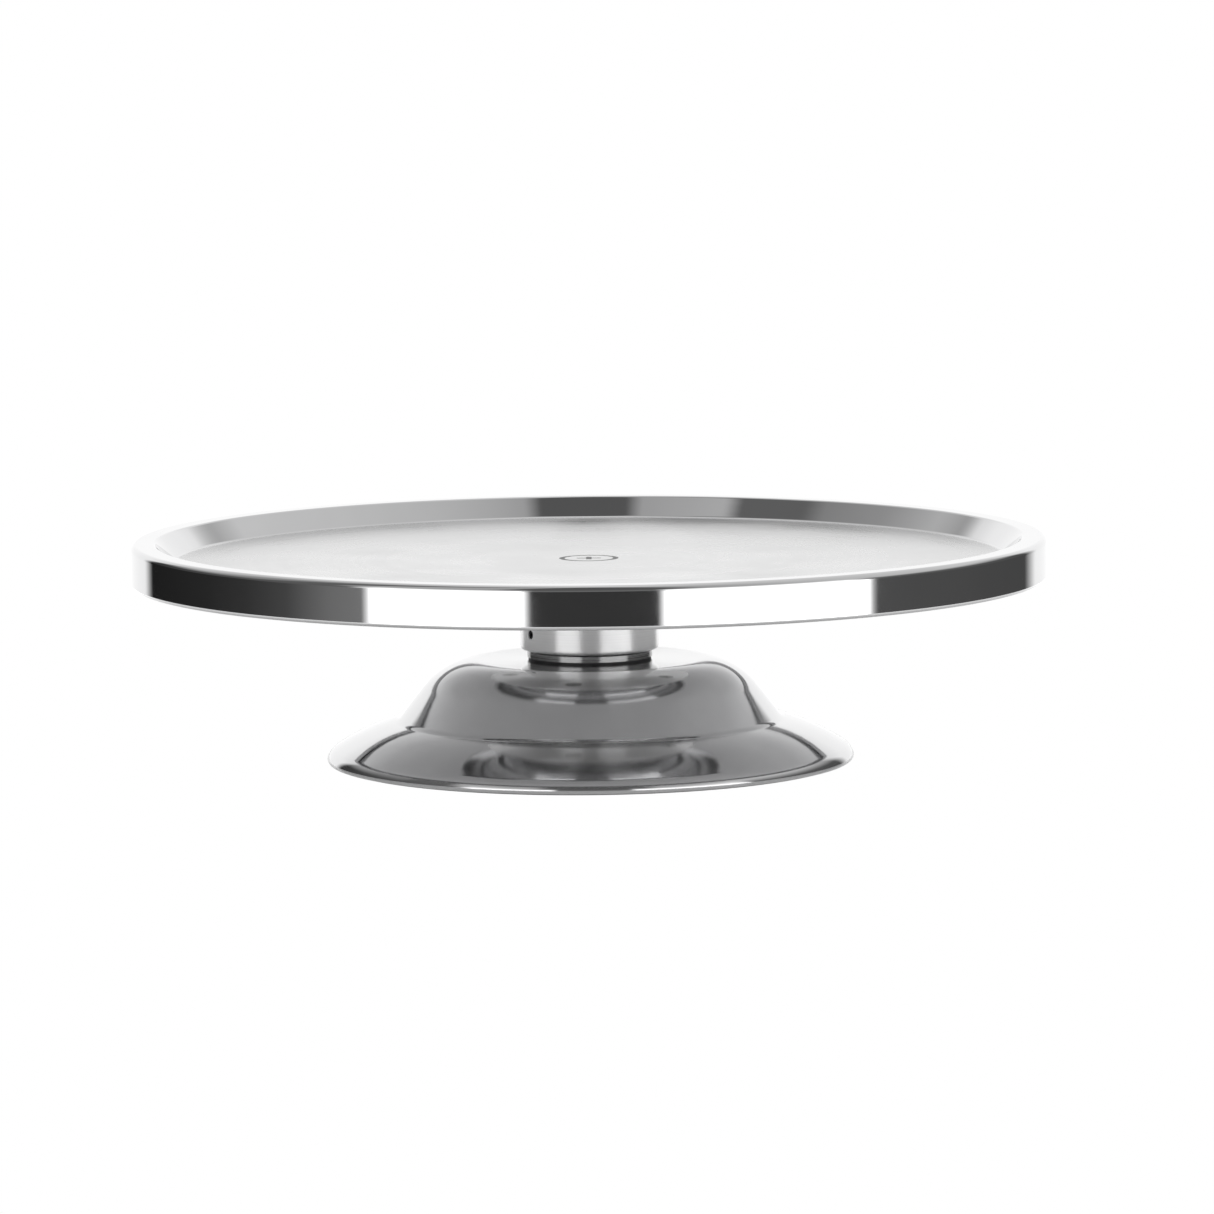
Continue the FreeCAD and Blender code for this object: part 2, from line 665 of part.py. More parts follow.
def make_base_shell():
    """One spun sheet: flat top, round shoulder, straight wall, skirt, bend and rolled edge."""
    body = new_body("base_shell")
    hole = "post_radius + bolt_clearance"
    shoulder_centre = "(plateau_height - shoulder_radius)"
    wall_angle = "(90 - wall_slope)"
    outer_wall = polar("shoulder_start", shoulder_centre, "shoulder_radius", wall_angle)
    inner_wall = polar("shoulder_start", shoulder_centre, "shoulder_radius - gauge", wall_angle)
    corner = f"({outer_wall[0]} + ({outer_wall[1]} - corner_height) / tan(wall_slope))"
    mean_slope = "((wall_slope + skirt_slope) / 2)"
    offset = "gauge / cos((wall_slope - skirt_slope) / 2)"
    inner_corner = (
        f"{corner} - {offset} * sin({mean_slope})",
        f"corner_height - {offset} * cos({mean_slope})",
    )
    roll_centre = "(edge_radius - edge_roll)"
    roll_height = "(edge_lift + edge_roll)"
    inner_roll = "(edge_roll - gauge)"
    roll_angle = "(90 - edge_slope)"
    outer_roll_start = polar(roll_centre, roll_height, "edge_roll", roll_angle)
    inner_roll_start = polar(roll_centre, roll_height, inner_roll, roll_angle)
    bend_centre = polar(roll_centre, roll_height, "edge_roll - edge_bend", roll_angle)
    bend_angle = "(90 - skirt_end_slope)"
    outer_bend_start = polar(*bend_centre, "edge_bend", bend_angle)
    inner_bend_start = polar(*bend_centre, "edge_bend - gauge", bend_angle)
    revolve(
        body,
        [
            (hole, "plateau_height"),
            (hole, PLATEAU_UNDERSIDE),
            ("shoulder_start", PLATEAU_UNDERSIDE),
            (*inner_wall, "shoulder_radius - gauge", -1),
            inner_corner,
            (*inner_bend_start, "skirt_radius - gauge", -1),
            (*inner_roll_start, "edge_bend - gauge", -1),
            (f"{roll_centre} + {inner_roll}", roll_height, inner_roll, -1),
            (roll_centre, "edge_lift + gauge", inner_roll, -1),
            ("lip_radius", "edge_lift + gauge"),
            ("lip_radius", "edge_lift"),
            (roll_centre, "edge_lift"),
            ("edge_radius", roll_height, "edge_roll", 1),
            (*outer_roll_start, "edge_roll", 1),
            (*outer_bend_start, "edge_bend", 1),
            (corner, "corner_height", "skirt_radius", 1),
            outer_wall,
            ("shoulder_start", "plateau_height", "shoulder_radius", 1),
        ],
    )
    soften(body, "Fillet", "corner_bend", [(corner, "corner_height")])
    soften(body, "Fillet", "corner_bend + gauge", [inner_corner])
    round_hole(body, "pin_radius", ("pin_circle", "0"), "plate_top")


def make_reinforcing_disc():
    """The thick disc that spreads the post's load under the base's flat top."""
    body = ring(
        "base_reinforcing_disc",
        "post_radius + bolt_clearance",
        "disc_radius",
        DISC_UNDERSIDE,
        "disc_thickness",
    )
    round_hole(body, "pin_radius", ("pin_circle", "0"), "plate_top")


def make_locating_pin():
    """A pin through the disc and the base into the post's foot, which stops the post turning."""
    body = new_body("locating_pin")
    sketch = new_sketch(body, "XY_Plane", DISC_UNDERSIDE)
    draw_circle(sketch, "pin_radius", ("pin_circle", "0"))
    pad(body, sketch, f"{GASKET_TOP} + pin_depth - {DISC_UNDERSIDE}")


def make_post_washer():
    """The plain washer under the reinforcing disc."""
    ring(
        "post_washer",
        "post_radius + bolt_clearance",
        "post_washer_radius",
        POST_WASHER_UNDERSIDE,
        "post_washer_thickness",
    )


def make_spring_washer():
    """The split washer that keeps the post's nut tight."""
    body = ring(
        "spring_washer",
        "post_radius + bolt_clearance",
        "spring_washer_radius",
        SPRING_WASHER_UNDERSIDE,
        "spring_washer_thickness",
    )
    sketch = new_sketch(body, "XY_Plane", SPRING_WASHER_UNDERSIDE)
    draw_outline(
        sketch,
        [
            ("0", "-spring_washer_slit / 2"),
            ("post_washer_radius", "-spring_washer_slit / 2"),
            ("post_washer_radius", "spring_washer_slit / 2"),
            ("0", "spring_washer_slit / 2"),
        ],
    )
    pocket(body, sketch, "spring_washer_thickness")


def make_post_nut():
    """The thin hexagon nut on the post's thread, with its corners turned off at both ends."""
    body = new_body("post_nut")
    low = f"({SPRING_WASHER_UNDERSIDE} - post_nut_height)"
    sketch = new_sketch(body, "XY_Plane", low)
    draw_outline(sketch, hexagon("post_nut_flats"))
    draw_circle(sketch, "post_radius")
    pad(body, sketch, "post_nut_height")
    flat = "(post_nut_flats / 2 - 0.3)"
    beyond = "(post_nut_flats / sqrt(3) + gauge)"
    drop = f"(({beyond} - {flat}) * tan(post_nut_bevel))"
    for face, way in ((low, 1), (SPRING_WASHER_UNDERSIDE, -1)):
        groove(body, [(flat, face), (beyond, face), (beyond, f"{face} + {way} * {drop}")])


def make_foot_ring():
    """The rubber ring clipped over the base's lip, on which the turntable stands."""
    body = new_body("foot_ring")
    lip_top = "(edge_lift + gauge)"
    revolve(
        body,
        [
            ("foot_inner", "0"),
            ("foot_outer", "0"),
            ("foot_outer", "edge_lift"),
            ("lip_radius", "edge_lift"),
            ("lip_radius", lip_top),
            ("foot_clip", lip_top),
            ("foot_clip", f"{lip_top} + foot_clip_height"),
            ("foot_inner", f"{lip_top} + foot_clip_height"),
        ],
    )


def check_model():
    """Stop if any object failed to compute or any part is not a sound closed shape."""
    for item in doc.Objects:
        if "Invalid" in item.State or "Error" in item.State:
            raise RuntimeError(f"{item.Label} failed: {item.State}")
    for node in nodes:
        if node.Shape.isNull() or not node.Shape.isValid() or not node.Shape.Solids:
            raise RuntimeError(f"{node.Label} is not a valid solid")


def write_parts():
    """Write each part to its own STEP file, named after its label."""
    os.makedirs("parts", exist_ok=True)
    for node in nodes:
        node.Shape.exportStep(os.path.join("parts", f"{node.Label}.step"))
        print(f"{node.Label}: {len(node.Shape.Solids)} solids, {node.Shape.Volume:.1f} mm3")


fill_sheet()

make_top_plate()
make_plate_bosses()
make_hub_disc()
make_hub_screws()
make_hub_sleeve()
make_grub_screws()
make_dust_seal()
for name in BEARINGS:
    make_bearing(name)
make_spacers()

make_bearing_post()
make_post_circlip()
make_base_gasket()
make_base_shell()
make_reinforcing_disc()
make_locating_pin()
make_post_washer()
make_spring_washer()
make_post_nut()
make_foot_ring()

doc.recompute()
check_model()
write_parts()
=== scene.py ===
import json
import math

import bpy
from mathutils import Matrix, Vector
from mathutils.bvhtree import BVHTree


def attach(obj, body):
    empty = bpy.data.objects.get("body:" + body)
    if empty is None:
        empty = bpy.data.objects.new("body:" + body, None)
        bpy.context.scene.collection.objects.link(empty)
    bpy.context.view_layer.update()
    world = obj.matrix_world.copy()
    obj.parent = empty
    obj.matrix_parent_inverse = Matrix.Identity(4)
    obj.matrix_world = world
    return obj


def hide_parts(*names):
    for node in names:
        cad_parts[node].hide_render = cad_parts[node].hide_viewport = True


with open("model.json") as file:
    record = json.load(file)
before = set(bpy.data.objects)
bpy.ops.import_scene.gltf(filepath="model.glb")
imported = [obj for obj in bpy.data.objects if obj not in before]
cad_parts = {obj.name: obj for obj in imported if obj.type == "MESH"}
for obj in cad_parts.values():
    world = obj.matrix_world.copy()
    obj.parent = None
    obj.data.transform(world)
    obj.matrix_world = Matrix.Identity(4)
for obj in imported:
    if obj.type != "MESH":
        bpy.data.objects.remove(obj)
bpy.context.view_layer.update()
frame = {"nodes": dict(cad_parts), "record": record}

# The turned and spun parts are turned again here, finely enough for mirror polish, from the
# dimensions of the CAD. Sizes are in millimetres and angles in degrees, unless a comment says
# otherwise; every Blender object is in metres.
MM = 0.001
# Angle between the samples of a bend, and the number of steps round a part and round a hole.
ARC_STEP = 5
TURNS = 320
HOLE_TURNS = 48
# How far a hole's cutter reaches past the surface.
CUT_OVERLAP = 1
# Two outline points nearer than this are one point, and a point this near the axis is on it.
TOUCHING = 0.000001
# A face this near an old one, in metres, and facing this nearly the same way, is part of it.
SAME_PLACE = 0.000002
SAME_FACING = 0.999
# Added to a distance in metres, so that it is never zero.
LEAST_DISTANCE = SAME_PLACE / 100

# Thickness of the sheet that the plate and the base are made from.
GAUGE = 1.0

# The pressed plate.
PLATE_RADIUS = 152.5
PLATE_TOP = 75.0
BAND_HEIGHT = 14.0
BAND_CORNER = 2.0
RIM_WIDTH = 8.0
RIM_BEND = 1.2
WELL_RADIUS = 139.0
WELL_DEPTH = 7.1
WELL_BEND = 1.5
HEM_FOLD = 1.25
HEM_RETURN = 3.5

# The hub: a disc under the plate, and the sleeve that holds the bearings. The hub's angle is
# where its first grub screw is, from +X.
HUB_DISC_RADIUS = 44.0
HUB_DISC_TOP = 63.9
HUB_DISC_UNDERSIDE = 61.4
HUB_DISC_EDGE = 0.8
HUB_ANGLE = 212.3
SCREW_CIRCLE = 34.0
SCREW_HOLE = 2.25
SCREW_SINK = 4.05
SCREWS = 4
SLEEVE_RADIUS = 23.2
SLEEVE_MOUTH = 37.7
SLEEVE_EDGE = 1.4
SLEEVE_SHOULDER = 60.0
SPIGOT_RADIUS = 18.0
SHOULDER_BORE = 11.0
BEARING_RADIUS = 14.0
GRUB_HEIGHT = 43.7
GRUB_RADIUS = 1.5
GRUBS = 2

# The fixed post that the hub turns on.
POST_RADIUS = 8.0
POST_BOTTOM = 15.6
POST_TOP = 62.6
POST_FOOT_RADIUS = 20.85
POST_FOOT_UNDERSIDE = 35.1
POST_FOOT_TOP = 37.3
POST_FOOT_EDGE = 0.4
BEARING_BORE = 6.0
BEARING_SEAT = 41.0
CIRCLIP_GROOVE = 5.5
CIRCLIP_WIDTH = 1.0
POST_CHAMFER = 0.8

# The spun base, from its centre outwards.
BASE_HOLE = 8.1
PLATEAU_HEIGHT = 34.3
SHOULDER_START = 37.0
SHOULDER_RADIUS = 24.0
WALL_SLOPE = 52.0
CORNER_HEIGHT = 14.4
CORNER_BEND = 4.0
SKIRT_END_SLOPE = 31.0
EDGE_BEND = 6.0
EDGE_SLOPE = 72.0
EDGE_RADIUS = 88.0
EDGE_ROLL = 1.25
EDGE_LIFT = 0.4
LIP_RADIUS = 82.0

# The rubber ring that is clipped over the base's lip.
FOOT_INNER = 80.5
FOOT_OUTER = 85.5
FOOT_CLIP = 84.0
FOOT_CLIP_HEIGHT = 1.2
FOOT_CLIP_EDGE = 0.4
FOOT_INNER_EDGE = 0.3
FOOT_OUTER_EDGE = 0.15

# Camera, in metres and radians: a long lens in front of the turntable, looking slightly down.
CAMERA_PLACE = (0.0059, -2.2, 0.2967)
CAMERA_PITCH = 0.11104
CAMERA_ROLL = 0.00946
CAMERA_LENS = 196.6
CAMERA_SENSOR = 36

# The small etched ring and cross that mark the centre of the well, in metres.
MARK_RADIUS = 0.009
MARK_CROSS = 0.004
MARK_LINE = 0.0009

# The floor, in metres. Its glow is painted light, which grows from the first strength to the second
# between two distances from the turntable's axis, so the floor is darker near the turntable as a
# painted shadow of the plate.
FLOOR_RADIUS = 0.5
FLOOR_SIDES = 128
FLOOR_CLEARANCE = 0.0001
FLOOR_COLOUR = (0.8, 0.8, 0.8, 1)
FLOOR_ROUGHNESS = 0.2
FLOOR_PAINTED_LIGHT = (0.2, 0.62)
FLOOR_PAINTED_SHADOW_ENDS = (0.18, 0.33)
# The camera itself sees the floor and the background as even white.
BACKDROP = 1.0
# The colour of the floor's painted light.
PAINTED_LIGHT_COLOUR = (1, 1, 1, 1)

# Brightness of the studio's softboxes, at table level and above it, and of the sweep behind.
SOFTBOX = 3.0
UPPER_SOFTBOX = 1.6
SWEEP = 1.1

# The studio round the horizon: (degrees from the camera, towards +X, brightness).
HORIZON = (-180, 180)
TABLE_LEVEL = [
    (-180, SWEEP),
    (-147, SWEEP),
    (-141, 0.015),
    (-109, 0.027),
    (-94, 0.042),
    (-80, 0.076),
    (-67, 0.19),
    (-57, 0.23),
    (-54, SOFTBOX),
    (-17, SOFTBOX),
    (-14.5, 0.046),
    (17, 0.046),
    (20, SOFTBOX),
    (72, SOFTBOX),
    (75, 0.099),
    (141, 0.076),
    (150, SWEEP),
    (180, SWEEP),
]
# The same just above table level.
EYE_LEVEL = [
    (-180, SWEEP),
    (-147, SWEEP),
    (-141, 0.046),
    (-62, 0.15),
    (-54, UPPER_SOFTBOX),
    (-17, UPPER_SOFTBOX),
    (-14.5, 0.19),
    (17, 0.19),
    (20, UPPER_SOFTBOX),
    (68, UPPER_SOFTBOX),
    (76, 0.15),
    (141, 0.091),
    (150, SWEEP),
    (180, SWEEP),
]
# The same high up, where the ceiling is.
OVERHEAD = [
    (-180, 0.84),
    (-140, 0.68),
    (-115, 0.38),
    (-97, 0.3),
    (-91, 0.15),
    (-70, 0.15),
    (-64, 0.55),
    (-28, 0.46),
    (-20, 0.12),
    (25, 0.12),
    (33, 0.46),
    (80, 0.68),
    (180, 0.84),
]
# Elevations between which each level of the studio gives way to the next, in degrees.
TABLE_LEVEL_ENDS = (1, 6)
EYE_LEVEL_ENDS = (16, 32)

# The middle part of a noise texture's range, which holds most of it, and the part for smudges.
NOISE_RANGE = (0.3, 0.7)
SMUDGE_RANGE = (0.35, 0.75)

# How much more a turned surface scatters across its marks than along them, and the quarter turn
# that lays that across a ring round Z.
ANISOTROPY = 0.95
QUARTER_TURN = 0.25


def direction(angle):
    """The unit vector in an outline at an angle in degrees."""
    turn = math.radians(angle)
    return Vector((math.cos(turn), math.sin(turn)))


def on_circle(centre, radius, angle):
    """The point of a circle at an angle in degrees."""
    return Vector(centre) + radius * direction(angle)


class Path:
    """An outline of straight runs and tangent bends, as (point, normal on its left) samples."""

    def __init__(self, start, heading=0.0):
        self.point = Vector(start)
        self.heading = heading
        self.samples = []
        self.mark()

    def mark(self):
        """Add the point where the path is to its samples."""
        self.samples.append((self.point.copy(), direction(self.heading + 90)))

    def straight(self, length):
        """Go straight on."""
        self.point += length * direction(self.heading)
        self.mark()

    def bend(self, radius, turn):
        """Turn by an angle in degrees, to the left if it is positive."""
        side = 1 if turn > 0 else -1
        centre = self.point + side * radius * self.samples[-1][1]
        steps = max(2, math.ceil(abs(turn) / ARC_STEP))
        first = self.heading
        for step in range(1, steps + 1):
            self.heading = first + turn * step / steps
            self.point = centre - side * radius * direction(self.heading + 90)
            self.mark()


def sheet_outline(path, gauge):
    """The closed outline of a sheet whose outer face follows the path."""
    outer = path.samples
    inner = [(point - gauge * normal, -normal) for point, normal in reversed(outer)]
    outer_end, normal = outer[-1]
    ahead = Vector((normal.y, -normal.x))
    pieces = [outer, [(outer_end, ahead), (inner[0][0], ahead)], inner]
    outer_start, normal = outer[0]
    if outer_start.x > TOUCHING:
        behind = Vector((-normal.y, normal.x))
        pieces.append([(inner[-1][0], behind), (outer_start, behind)])
    return pieces


def rounded_outline(corners):
    """The closed outline through corners, (radius, height, bend), drawn clockwise."""
    bends = []
    for index, (across, up, radius) in enumerate(corners):
        here = Vector((across, up))
        before = Vector(corners[index - 1][:2])
        after = Vector(corners[(index + 1) % len(corners)][:2])
        inward = (here - before).normalized()
        outward = (after - here).normalized()
        turn = -math.degrees(inward.angle_signed(outward))
        reach = radius * math.tan(math.radians(abs(turn)) / 2)
        heading = math.degrees(math.atan2(inward.y, inward.x))
        path = Path(here - inward * reach, heading)
        if radius > 0:
            path.bend(radius, turn)
        bends.append((path, here + outward * reach))
    pieces = []
    for index, (path, _) in enumerate(bends):
        start = bends[index - 1][1]
        end = path.samples[0][0]
        normal = path.samples[0][1]
        on_axis = start.x < TOUCHING and end.x < TOUCHING
        if (end - start).length > TOUCHING and not on_axis:
            pieces.append([(start, normal), (end, normal)])
        if len(path.samples) > 1:
            pieces.append(path.samples)
    return pieces


def turned(name, pieces, turns=TURNS):
    """Turn an outline, drawn clockwise in millimetres, about Z, with the outline's own normals."""
    vertices = []
    faces = []
    normals = []

    def row(point):
        """The indices of a point's vertices all round, or of its one vertex on the axis."""
        first = len(vertices)
        if point.x < TOUCHING:
            vertices.append((0, 0, point.y * MM))
            return [first] * turns
        for turn in range(turns):
            angle = 2 * math.pi * turn / turns
            place = (point.x * math.cos(angle), point.x * math.sin(angle), point.y)
            vertices.append([value * MM for value in place])
        return list(range(first, first + turns))

    def close_ring(low, high, low_normal, high_normal):
        """The faces between two rows, which are triangles where one row is a single vertex."""
        for turn in range(turns):
            after = (turn + 1) % turns
            corners = [
                (low[turn], turn, low_normal),
                (high[turn], turn, high_normal),
                (high[after], turn + 1, high_normal),
                (low[after], turn + 1, low_normal),
            ]
            if low[0] == low[1]:
                corners.pop(3)
            if high[0] == high[1]:
                corners.pop(2)
            faces.append([corner[0] for corner in corners])
            for _, place, normal in corners:
                angle = 2 * math.pi * place / turns
                across = (normal.x * math.cos(angle), normal.x * math.sin(angle))
                normals.append((*across, normal.y))

    first_row = row(pieces[0][0][0])
    below = first_row
    for number, piece in enumerate(pieces):
        for index in range(1, len(piece)):
            point, normal = piece[index]
            last = number == len(pieces) - 1 and index == len(piece) - 1
            above = first_row if last and point.x > TOUCHING else row(point)
            close_ring(below, above, piece[index - 1][1], normal)
            below = above
    mesh = bpy.data.meshes.new(name)
    mesh.from_pydata(vertices, [], faces)
    mesh.shade_smooth()
    mesh.normals_split_custom_set(normals)
    item = bpy.data.objects.new(name, mesh)
    bpy.context.scene.collection.objects.link(item)
    return item


def cut(item, cutters):
    """Cut holes in a turned piece, which keeps its exact normals outside them."""
    whole = item.data
    places = [vertex.co.copy() for vertex in whole.vertices]
    polygons = [tuple(polygon.vertices) for polygon in whole.polygons]
    smooth = [normal.vector.copy() for normal in whole.corner_normals]
    first_loops = [polygon.loop_start for polygon in whole.polygons]
    tree = BVHTree.FromPolygons(places, polygons)

    for cutter in cutters:
        modifier = item.modifiers.new("hole", "BOOLEAN")
        modifier.object = cutter
        modifier.solver = "MANIFOLD"
    depsgraph = bpy.context.evaluated_depsgraph_get()
    mesh = bpy.data.meshes.new_from_object(item.evaluated_get(depsgraph))
    item.modifiers.clear()
    item.data = mesh
    for cutter in cutters:
        bpy.data.objects.remove(cutter)

    def corner_normal(index, place):
        """The smooth normal there, mostly that of the old polygon's nearest corner."""
        total = Vector()
        for step, vertex in enumerate(polygons[index]):
            weight = 1 / ((places[vertex] - place).length + LEAST_DISTANCE)
            total += weight * smooth[first_loops[index] + step]
        return total.normalized()

    normals = []
    for polygon in mesh.polygons:
        _, facing, index, distance = tree.find_nearest(polygon.center)
        old = distance < SAME_PLACE and facing.dot(polygon.normal) > SAME_FACING
        for vertex in polygon.vertices:
            if old:
                normals.append(corner_normal(index, mesh.vertices[vertex].co))
            else:
                normals.append(polygon.normal.copy())
    mesh.shade_smooth()
    mesh.normals_split_custom_set(normals)
    return item


def screw_hole(angle):
    """The cutter for a countersunk hole in the hub disc."""
    neck = HUB_DISC_UNDERSIDE + SCREW_SINK - SCREW_HOLE
    cutter = turned(
        "screw_hole",
        rounded_outline(
            [
                (0, HUB_DISC_TOP + CUT_OVERLAP, 0),
                (SCREW_HOLE, HUB_DISC_TOP + CUT_OVERLAP, 0),
                (SCREW_HOLE, neck, 0),
                (SCREW_SINK, HUB_DISC_UNDERSIDE, 0),
                (SCREW_SINK, HUB_DISC_UNDERSIDE - CUT_OVERLAP, 0),
                (0, HUB_DISC_UNDERSIDE - CUT_OVERLAP, 0),
            ]
        ),
        HOLE_TURNS,
    )
    place = on_circle((0, 0), SCREW_CIRCLE * MM, angle)
    cutter.data.transform(Matrix.Translation((*place, 0)))
    return cutter


def grub_hole(angle):
    """The cutter for a grub screw's hole in the sleeve."""
    outer_end = SLEEVE_RADIUS + CUT_OVERLAP - BEARING_RADIUS
    cutter = turned(
        "grub_hole",
        rounded_outline(
            [
                (0, outer_end, 0),
                (GRUB_RADIUS, outer_end, 0),
                (GRUB_RADIUS, -CUT_OVERLAP, 0),
                (0, -CUT_OVERLAP, 0),
            ]
        ),
        HOLE_TURNS,
    )
    place = on_circle((0, 0), BEARING_RADIUS * MM, angle)
    turn = Matrix.Rotation(math.radians(angle), 4, "Z") @ Matrix.Rotation(math.pi / 2, 4, "Y")
    cutter.data.transform(Matrix.Translation((*place, GRUB_HEIGHT * MM)) @ turn)
    return cutter


def make_plate():
    """The pressed plate: well, sloping wall, rim, band and folded hem."""
    rim_edge = PLATE_RADIUS - RIM_WIDTH
    run = rim_edge - WELL_RADIUS
    slope = math.degrees(math.atan2(WELL_DEPTH, run))
    half = math.tan(math.radians(slope / 2))
    path = Path((0, PLATE_TOP - WELL_DEPTH))
    path.straight(WELL_RADIUS - WELL_BEND * half)
    path.bend(WELL_BEND, slope)
    path.straight(math.hypot(run, WELL_DEPTH) - (WELL_BEND + RIM_BEND) * half)
    path.bend(RIM_BEND, -slope)
    path.straight(RIM_WIDTH - RIM_BEND * half - BAND_CORNER)
    path.bend(BAND_CORNER, -90)
    path.straight(BAND_HEIGHT - BAND_CORNER - HEM_FOLD)
    path.bend(HEM_FOLD, -180)
    path.straight(HEM_RETURN)
    return turned("pressed_plate", sheet_outline(path, GAUGE))


def make_base():
    """The spun base: flat top, shoulder, wall, skirt, downward bend and rolled edge.

    The skirt is one long bend between the corner below the wall and the bend above the edge.
    """
    shoulder = (SHOULDER_START, PLATEAU_HEIGHT - SHOULDER_RADIUS)
    wall_top = on_circle(shoulder, SHOULDER_RADIUS, 90 - WALL_SLOPE)
    wall_drop = wall_top.y - CORNER_HEIGHT
    corner = Vector((wall_top.x + wall_drop / math.tan(math.radians(WALL_SLOPE)), CORNER_HEIGHT))
    roll = (EDGE_RADIUS - EDGE_ROLL, EDGE_LIFT + EDGE_ROLL)
    bend = on_circle(roll, EDGE_ROLL - EDGE_BEND, 90 - EDGE_SLOPE)
    skirt_end = on_circle(bend, EDGE_BEND, 90 - SKIRT_END_SLOPE)
    chord = skirt_end - corner
    chord_slope = -math.degrees(math.atan2(chord.y, chord.x))
    half_turn = SKIRT_END_SLOPE - chord_slope
    skirt_start_slope = chord_slope - half_turn
    corner_turn = WALL_SLOPE - skirt_start_slope
    reach = CORNER_BEND * math.tan(math.radians(corner_turn / 2))
    tangent = chord.length / 2 / math.cos(math.radians(half_turn))

    path = Path((BASE_HOLE, PLATEAU_HEIGHT))
    path.straight(SHOULDER_START - BASE_HOLE)
    path.bend(SHOULDER_RADIUS, -WALL_SLOPE)
    path.straight((corner - wall_top).length - reach)
    path.bend(CORNER_BEND, corner_turn)
    path.bend((tangent - reach) / math.tan(math.radians(half_turn)), -2 * half_turn)
    path.straight(reach)
    path.bend(EDGE_BEND, SKIRT_END_SLOPE - EDGE_SLOPE)
    path.bend(EDGE_ROLL, EDGE_SLOPE - 180)
    path.straight(roll[0] - LIP_RADIUS)
    return turned("spun_base", sheet_outline(path, GAUGE))


def make_hub_disc():
    """The turned disc under the plate, with rounded edges and countersunk screw holes."""
    disc = turned(
        "polished_hub_disc",
        rounded_outline(
            [
                (SPIGOT_RADIUS, HUB_DISC_TOP, 0),
                (HUB_DISC_RADIUS, HUB_DISC_TOP, HUB_DISC_EDGE),
                (HUB_DISC_RADIUS, HUB_DISC_UNDERSIDE, HUB_DISC_EDGE),
                (SPIGOT_RADIUS, HUB_DISC_UNDERSIDE, 0),
            ]
        ),
    )
    spacing = 360 / SCREWS
    first = HUB_ANGLE + spacing / 2
    return cut(disc, [screw_hole(first + spacing * turn) for turn in range(SCREWS)])


def make_sleeve():
    """The turned hub sleeve, with the holes for its grub screws."""
    sleeve = turned(
        "turned_sleeve",
        rounded_outline(
            [
                (SHOULDER_BORE, HUB_DISC_TOP, 0),
                (SPIGOT_RADIUS, HUB_DISC_TOP, 0),
                (SPIGOT_RADIUS, HUB_DISC_UNDERSIDE, 0),
                (SLEEVE_RADIUS, HUB_DISC_UNDERSIDE, 0),
                (SLEEVE_RADIUS, SLEEVE_MOUTH, SLEEVE_EDGE),
                (BEARING_RADIUS, SLEEVE_MOUTH, 0),
                (BEARING_RADIUS, SLEEVE_SHOULDER, 0),
                (SHOULDER_BORE, SLEEVE_SHOULDER, 0),
            ]
        ),
    )
    return cut(sleeve, [grub_hole(HUB_ANGLE + 360 * turn / GRUBS) for turn in range(GRUBS)])


def make_post():
    """The turned post that the sleeve runs on, with its round foot."""
    groove_top = SLEEVE_SHOULDER + CIRCLIP_WIDTH
    return turned(
        "turned_post",
        rounded_outline(
            [
                (0, POST_TOP, 0),
                (BEARING_BORE - POST_CHAMFER, POST_TOP, 0),
                (BEARING_BORE, POST_TOP - POST_CHAMFER, 0),
                (BEARING_BORE, groove_top, 0),
                (CIRCLIP_GROOVE, groove_top, 0),
                (CIRCLIP_GROOVE, SLEEVE_SHOULDER, 0),
                (BEARING_BORE, SLEEVE_SHOULDER, 0),
                (BEARING_BORE, BEARING_SEAT, 0),
                (POST_RADIUS, BEARING_SEAT, 0),
                (POST_RADIUS, POST_FOOT_TOP, 0),
                (POST_FOOT_RADIUS, POST_FOOT_TOP, POST_FOOT_EDGE),
                (POST_FOOT_RADIUS, POST_FOOT_UNDERSIDE, 0),
                (POST_RADIUS, POST_FOOT_UNDERSIDE, 0),
                (POST_RADIUS, POST_BOTTOM + POST_CHAMFER, 0),
                (POST_RADIUS - POST_CHAMFER, POST_BOTTOM, 0),
                (0, POST_BOTTOM, 0),
            ]
        ),
    )


def make_foot():
    """The rubber ring clipped over the base's lip."""
    lip_top = EDGE_LIFT + GAUGE
    clip_top = lip_top + FOOT_CLIP_HEIGHT
    return turned(
        "moulded_foot_ring",
        rounded_outline(
            [
                (FOOT_INNER, clip_top, FOOT_CLIP_EDGE),
                (FOOT_CLIP, clip_top, FOOT_CLIP_EDGE),
                (FOOT_CLIP, lip_top, 0),
                (LIP_RADIUS, lip_top, 0),
                (LIP_RADIUS, EDGE_LIFT, 0),
                (FOOT_OUTER, EDGE_LIFT, 0),
                (FOOT_OUTER, 0, FOOT_OUTER_EDGE),
                (FOOT_INNER, 0, FOOT_INNER_EDGE),
            ]
        ),
    )


def node(tree, kind, **settings):
    """A shader node with its properties set."""
    made = tree.nodes.new(kind)
    for name, value in settings.items():
        setattr(made, name, value)
    return made


def feed(tree, socket, value):
    """Link a socket, or set its value."""
    if isinstance(value, bpy.types.NodeSocket):
        tree.links.new(value, socket)
    else:
        socket.default_value = value


def calc(tree, operation, *values):
    """A Math node's result."""
    made = node(tree, "ShaderNodeMath", operation=operation)
    for socket, value in zip(made.inputs, values):
        feed(tree, socket, value)
    return made.outputs[0]


def spread(tree, value, low, high, to_low=0.0, to_high=1.0):
    """A value mapped from one range to another, and held inside it."""
    made = node(tree, "ShaderNodeMapRange", clamp=True)
    for socket, given in zip(made.inputs, (value, low, high, to_low, to_high)):
        feed(tree, socket, given)
    return made.outputs[0]


def blend(tree, share, first, second):
    """The first value where the share is 0, the second where it is 1."""
    made = node(tree, "ShaderNodeMix", data_type="FLOAT")
    feed(tree, made.inputs["Factor"], share)
    feed(tree, made.inputs["A"], first)
    feed(tree, made.inputs["B"], second)
    return made.outputs[0]


